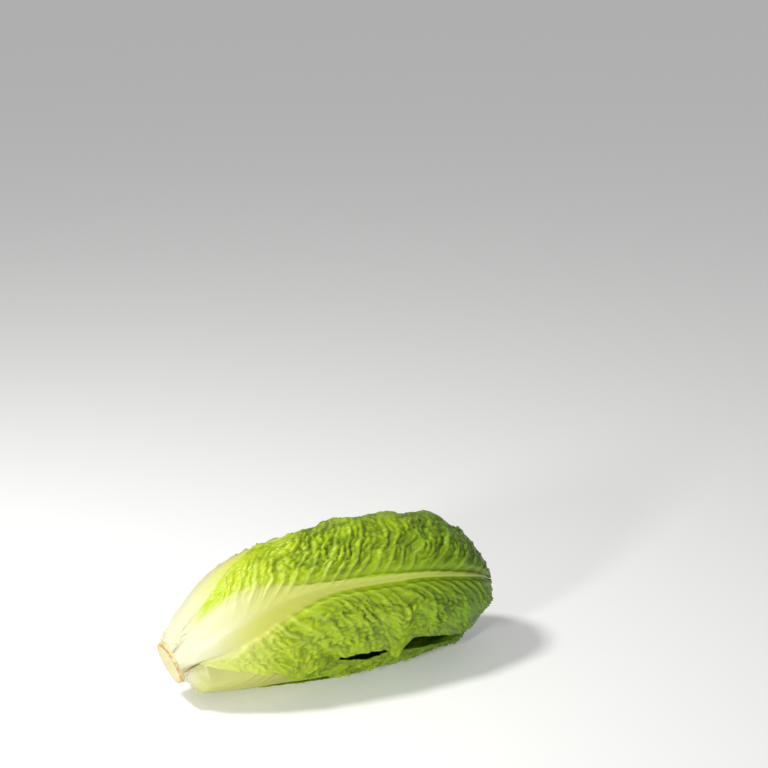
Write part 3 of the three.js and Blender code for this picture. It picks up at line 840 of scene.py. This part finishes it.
def build_stem():
    turn = np.arange(STEM_COLUMNS) * 360 / STEM_COLUMNS
    neck = np.linspace(CUT_STATION, NECK_STATION, NECK_RINGS)[1:]
    core = np.linspace(NECK_STATION, STEM_END, CORE_RINGS)[1:]
    rings = []
    rims = []
    radii = []
    for share in np.linspace(0.02, 1, CUT_RINGS):
        rings.append(cut_ring(share, turn))
        rims.append(smooth_step((share - RIM_FROM) / 0.16) + turn * 0)
        radii.append(share + turn * 0)
    for station in np.concatenate([neck, core]):
        rings.append(side_ring(station, turn))
        rims.append(1 - smooth_step((station - CUT_STATION - 0.2) / RIM_HEIGHT) + turn * 0)
        radii.append(1 + turn * 0)
    points = [place(station, turn, radius) for station, radius in rings]
    points.append(place(CUT_STATION - CUT_CROWN, 0.0, 0.0)[None])
    points.append(place(STEM_END, 0.0, 0.0)[None])
    attributes = {"rim": with_ends(np.array(rims), 0, 0), "radial": with_ends(np.array(radii), 0, 1)}
    faces = ring_faces(len(rings), STEM_COLUMNS)
    return make_object("stem_skin", to_frame(np.concatenate(points)), faces, attributes)


# Materials
class Nodes:
    """Short calls for building one node material."""

    def __init__(self, name):
        self.material = bpy.data.materials.new(name)
        self.material.use_nodes = True
        self.tree = self.material.node_tree
        self.tree.nodes.clear()

    def feed(self, socket, value):
        if isinstance(value, bpy.types.NodeSocket):
            self.tree.links.new(value, socket)
        else:
            socket.default_value = value

    def add(self, kind, inputs=None, **settings):
        node = self.tree.nodes.new(kind)
        for key, value in settings.items():
            setattr(node, key, value)
        for key, value in (inputs or {}).items():
            self.feed(node.inputs[key], value)
        return node

    def attribute(self, name):
        return self.add("ShaderNodeAttribute", attribute_name=name).outputs["Fac"]

    def place_on_leaf(self):
        return self.add("ShaderNodeAttribute", attribute_name="leaf_place").outputs["Vector"]

    def place_on_object(self):
        return self.add("ShaderNodeTexCoord").outputs["Object"]

    def math(self, operation, *values):
        node = self.add("ShaderNodeMath", operation=operation)
        for socket, value in zip(node.inputs, values):
            self.feed(socket, value)
        return node.outputs[0]

    def times(self, first, second):
        return self.math("MULTIPLY", first, second)

    def plus(self, first, second):
        return self.math("ADD", first, second)

    def most(self, first, second):
        return self.math("MAXIMUM", first, second)

    def ramp(self, value, low, high):
        """Smooth step from 0 at low to 1 at high."""
        node = self.add("ShaderNodeMapRange", {"Value": value, "From Min": low, "From Max": high},
                        interpolation_type="SMOOTHSTEP")
        return node.outputs["Result"]

    def fade(self, value, low, high):
        """Smooth step from 1 at low to 0 at high."""
        return self.math("SUBTRACT", 1.0, self.ramp(value, low, high))

    def mix(self, share, first, second):
        node = self.add("ShaderNodeMix", data_type="RGBA")
        for socket, value in zip((node.inputs[0], node.inputs[6], node.inputs[7]), (share, first, second)):
            self.feed(socket, value)
        return node.outputs[2]

    def noise(self, vector, scale, detail=3.0):
        node = self.add("ShaderNodeTexNoise", {"Vector": vector, "Scale": scale, "Detail": detail})
        return node.outputs["Fac"]

    def bump(self, height, strength, distance):
        node = self.add("ShaderNodeBump", {"Height": height, "Strength": strength, "Distance": distance})
        return node.outputs["Normal"]

    def finish(self, shader):
        self.add("ShaderNodeOutputMaterial", {"Surface": shader.outputs[0]})
        return self.material


def linear(code):
    """Colour from a hex code, as linear values."""
    channels = [int(code[i:i + 2], 16) / 255 for i in (0, 2, 4)]
    return tuple(c / 12.92 if c < 0.04045 else ((c + 0.055) / 1.055) ** 2.4 for c in channels) + (1.0,)


def blade_green(n, where, share, speckle, base, middle, tip, crease_shade_green):
    """Green of the blade: darker toward the tip, with painted shade in the creases, and patches and fine
    speckles.
    """
    patches = n.noise(where, 0.045, 4.0)
    drift = n.plus(share, n.times(n.math("SUBTRACT", patches, 0.5), 0.34))
    green = n.mix(n.ramp(drift, 0.12, 0.42), base, middle)
    green = n.mix(n.ramp(drift, 0.45, 0.95), green, tip)
    # Painted shade: the creases and hollows get a darker green
    painted_crease_shade = n.times(n.attribute("crease_shade_mask"), n.attribute("blade"))
    crease_shade_colour = n.mix(n.ramp(share, 0.1, 0.4), middle, crease_shade_green)
    green = n.mix(n.times(painted_crease_shade, CREASE_SHADE_STRENGTH), green, crease_shade_colour)
    return n.mix(n.times(n.ramp(speckle, 0.35, 0.75), 0.22), green, base)


def net_veins(n, where):
    """Finest veins, a net of thin lines between the others."""
    network = n.add("ShaderNodeTexVoronoi", {"Vector": where, "Scale": 0.42, "Randomness": 0.9},
                    feature="DISTANCE_TO_EDGE").outputs["Distance"]
    return n.times(n.fade(network, 0.02, 0.1), 0.2)


def with_veins(n, share, green, net):
    """The blade's green with its pale side veins, minor veins and net."""
    pale = n.most(n.times(n.attribute("vein"), 0.8), n.times(n.attribute("minor"), 0.42))
    pale = n.most(pale, n.times(net, n.attribute("blade")))
    colour = n.mix(n.ramp(share, 0.2, 0.9), linear(NEAR_VEIN_COLOUR), linear(FAR_VEIN_COLOUR))
    return n.mix(pale, green, colour)


def petiole_mask(n, share):
    """Where a leaf is pale rib and stalk instead of green blade."""
    narrowing = n.times(n.ramp(share, 0.25, 0.55), 0.28)
    rib_edge = n.math("SUBTRACT", n.attribute("rib"), narrowing)
    petiole = n.most(n.ramp(rib_edge, 0.14, 0.34), n.fade(share, 0.03, 0.08))
    beside_blade = n.math("SUBTRACT", 1.0, n.attribute("blade"))
    return n.most(petiole, n.times(beside_blade, n.fade(share, 0.2, 0.5)))


def rib_tone(n, where, share, across, colour):
    """Colour of rib and stalk: greener along the leaf, streaked, yellower on one side, partly its own tint
    and partly painted shade, and with painted yellow shade on the leaves that lie lowest.
    """
    streak_place = n.add("ShaderNodeMapping", {"Vector": where, "Scale": (0.02, 0.6, 1.0)}).outputs["Vector"]
    streaks = n.noise(streak_place, 1.0, 3.0)
    for code, low, high in RIB_COLOURS:
        colour = n.mix(n.ramp(share, low, high), colour, linear(code))
    colour = n.mix(n.times(n.ramp(streaks, 0.4, 0.7), 0.3), colour, linear(STREAK_COLOUR))
    # One side of the rib is yellower: partly the rib's own tint and partly painted shade on the side in shade
    shaded_side = n.times(n.ramp(across, -1.0, 5.0), n.ramp(share, 0.02, 0.2))
    colour = n.mix(n.times(shaded_side, 0.7), colour, linear(SHADED_RIB_COLOUR))
    # Painted shade: a yellower rib and stalk on the leaves that lie lowest
    painted_underside_shade = n.times(n.attribute("underside_shade"), n.ramp(share, 0.0, 0.06))
    return n.mix(painted_underside_shade, colour, linear(UNDERSIDE_SHADE_COLOUR))


def stain_mask(n, where, share):
    """Broken brown stain at the corners of a leaf's cut base."""
    corners = n.times(n.fade(share, 0.012, 0.06), n.ramp(n.attribute("margin"), 0.55, 0.95))
    broken = n.times(corners, n.ramp(n.noise(where, 0.35, 3.0), 0.45, 0.7))
    return n.times(broken, 0.7)


def leaf_material(name, base, middle, tip, rib_colour, crease_shade_green):
    n = Nodes(name)
    where = n.place_on_leaf()
    share = n.attribute("share")
    across = n.add("ShaderNodeSeparateXYZ", {"Vector": where}).outputs["Y"]
    speckle = n.noise(where, 1.1, 4.0)
    net = net_veins(n, where)
    green = blade_green(n, where, share, speckle, base, middle, tip, crease_shade_green)
    green = with_veins(n, share, green, net)
    young = n.times(n.ramp(across, 4.0, 16.0), n.fade(share, 0.1, 0.27))
    green = n.mix(n.times(young, 0.62), green, linear(YOUNG_COLOUR))
    petiole = petiole_mask(n, share)
    colour = n.mix(petiole, green, rib_tone(n, where, share, across, rib_colour))
    colour = n.mix(stain_mask(n, where, share), colour, linear(STAIN_COLOUR))
    fine_bump = n.plus(n.times(speckle, 0.5), n.times(net, 0.8))
    normal = n.bump(n.times(fine_bump, n.attribute("blade")), 0.6, 0.0008)
    gloss = n.plus(GLOSS, n.times(n.noise(where, 0.25, 3.0), GLOSS_SPREAD))
    gloss = n.plus(gloss, n.times(petiole, RIB_DULLNESS))
    skin = n.add("ShaderNodeBsdfPrincipled", {
        "Base Color": colour, "Roughness": gloss, "Normal": normal, "Subsurface Weight": 0.06,
        "Subsurface Radius": (0.7, 1.0, 0.15), "Subsurface Scale": 0.003, "Specular IOR Level": LEAF_SPECULAR,
    })
    through = n.add("ShaderNodeBsdfTranslucent", {"Color": colour, "Normal": normal})
    return n.finish(n.add("ShaderNodeMixShader", {0: SEE_THROUGH, 1: skin.outputs[0], 2: through.outputs[0]}))


def stem_material():
    n = Nodes("cut_stem")
    where = n.place_on_object()
    patches = n.noise(where, 160.0, 4.0)
    flesh = n.mix(n.ramp(patches, 0.35, 0.7), linear(FLESH_COLOURS[0]), linear(FLESH_COLOURS[1]))
    specks = n.ramp(n.noise(where, 420.0, 3.0), 0.55, 0.75)
    pith = n.mix(n.times(specks, 0.35), flesh, linear(PITH_COLOUR))
    broken = n.noise(where, 310.0, 4.0)
    rim = n.times(n.attribute("rim"), n.ramp(broken, 0.4, 0.56))
    browning = n.ramp(n.noise(where, 900.0, 2.0), 0.4, 0.65)
    browned = n.mix(browning, linear(BROWNED_COLOURS[0]), linear(BROWNED_COLOURS[1]))
    colour = n.mix(n.times(rim, 0.9), pith, browned)
    rings = n.math("SINE", n.times(n.attribute("radial"), 60.0))
    height = n.plus(n.times(rings, 0.1), n.plus(patches, broken))
    return n.finish(n.add("ShaderNodeBsdfPrincipled", {
        "Base Color": colour, "Roughness": 0.42, "Normal": n.bump(height, 0.3, 0.0005),
        "Subsurface Weight": 0.25, "Subsurface Radius": (1.0, 0.9, 0.5), "Subsurface Scale": 0.004,
    }))


def floor_material():
    n = Nodes("pale_floor")
    grain = n.noise(n.place_on_object(), 3.0, 2.0)
    tone = n.mix(n.times(grain, 0.04), FLOOR_LIGHT, FLOOR_DARK)
    return n.finish(n.add("ShaderNodeBsdfPrincipled", {
        "Base Color": tone, "Roughness": 0.6, "Emission Color": tone, "Emission Strength": FLOOR_GLOW,
    }))


# Stage, light and camera
def build_floor():
    half = FLOOR_HALF
    corners = np.array([(-half, -half, 0), (half, -half, 0), (half, half, 0), (-half, half, 0)], float)
    floor = make_object("floor", corners, np.array([[0, 1, 2, 3]]), {})
    floor.data.materials.append(floor_material())
    floor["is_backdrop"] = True


def area_light(name, position, size, power, colour):
    data = bpy.data.lights.new(name, "AREA")
    data.shape = "DISK"
    data.size = size
    data.energy = power
    data.color = colour
    lamp = bpy.data.objects.new(name, data)
    lamp.location = position
    lamp.rotation_euler = (Vector(LIGHT_TARGET) - Vector(position)).to_track_quat("-Z", "Y").to_euler()
    bpy.context.scene.collection.objects.link(lamp)


def build_lights():
    world = bpy.data.worlds.new("studio")
    world.use_nodes = True
    background = world.node_tree.nodes["Background"]
    background.inputs["Color"].default_value = (1.0, 1.0, 1.0, 1.0)
    background.inputs["Strength"].default_value = WORLD_STRENGTH
    bpy.context.scene.world = world
    bpy.context.scene.view_settings.view_transform = "Standard"
    area_light("key", **KEY_LIGHT)
    area_light("front", **FRONT_LIGHT)


def build_camera():
    turn = math.radians(CAMERA_TURN)
    pitch = math.radians(CAMERA_PITCH)
    back = Vector((math.sin(turn) * math.cos(pitch), -math.cos(turn) * math.cos(pitch), math.sin(pitch)))
    right = Vector((math.cos(turn), math.sin(turn), 0.0))
    up = back.cross(right)
    sideways = AIM_PIXEL[0] - PHOTO_SIZE / 2
    upward = PHOTO_SIZE / 2 - AIM_PIXEL[1]
    ray = (right * sideways + up * upward - back * FOCAL_PIXELS).normalized()
    aim = Vector(((np.array(AIM_POINT, float) - FRAME_SHIFT) / 1000).tolist())
    data = bpy.data.cameras.new("camera")
    data.sensor_width = SENSOR_WIDTH
    data.lens = FOCAL_PIXELS / PHOTO_SIZE * SENSOR_WIDTH
    data.clip_end = CAMERA_REACH
    camera = bpy.data.objects.new("camera", data)
    rotation = Matrix((right, up, back)).transposed().to_4x4()
    camera.matrix_world = Matrix.Translation(aim - ray * CAMERA_DISTANCE) @ rotation
    bpy.context.scene.collection.objects.link(camera)
    bpy.context.scene.camera = camera


def finish_piece(piece, node, material):
    piece.data.materials.append(material)
    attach(piece, "root")
    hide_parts(node)


def build_head():
    looks = {}
    for slot, (name, *codes) in LEAF_COLOURS.items():
        looks[slot] = leaf_material(name, *[linear(code) for code in codes])
    cover = np.zeros((STATIONS, TURNS))
    finish_piece(build_stem(), "stem", stem_material())
    finish_piece(build_heart(cover), "heart", looks["leaf_inner"])
    for row in LEAVES:
        leaf = dict(zip(LEAF_KEYS, row))
        guide = guide_over(cover)
        finish_piece(build_leaf(leaf, guide), leaf["node"], looks[leaf["slot"]])
        cover_with_leaf(cover, leaf, guide)


build_camera()
build_lights()
build_floor()
build_head()

boxes = {"cad": cad_box, "visual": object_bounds()}
{key: [list(corner) for corner in box] for key, box in boxes.items()}
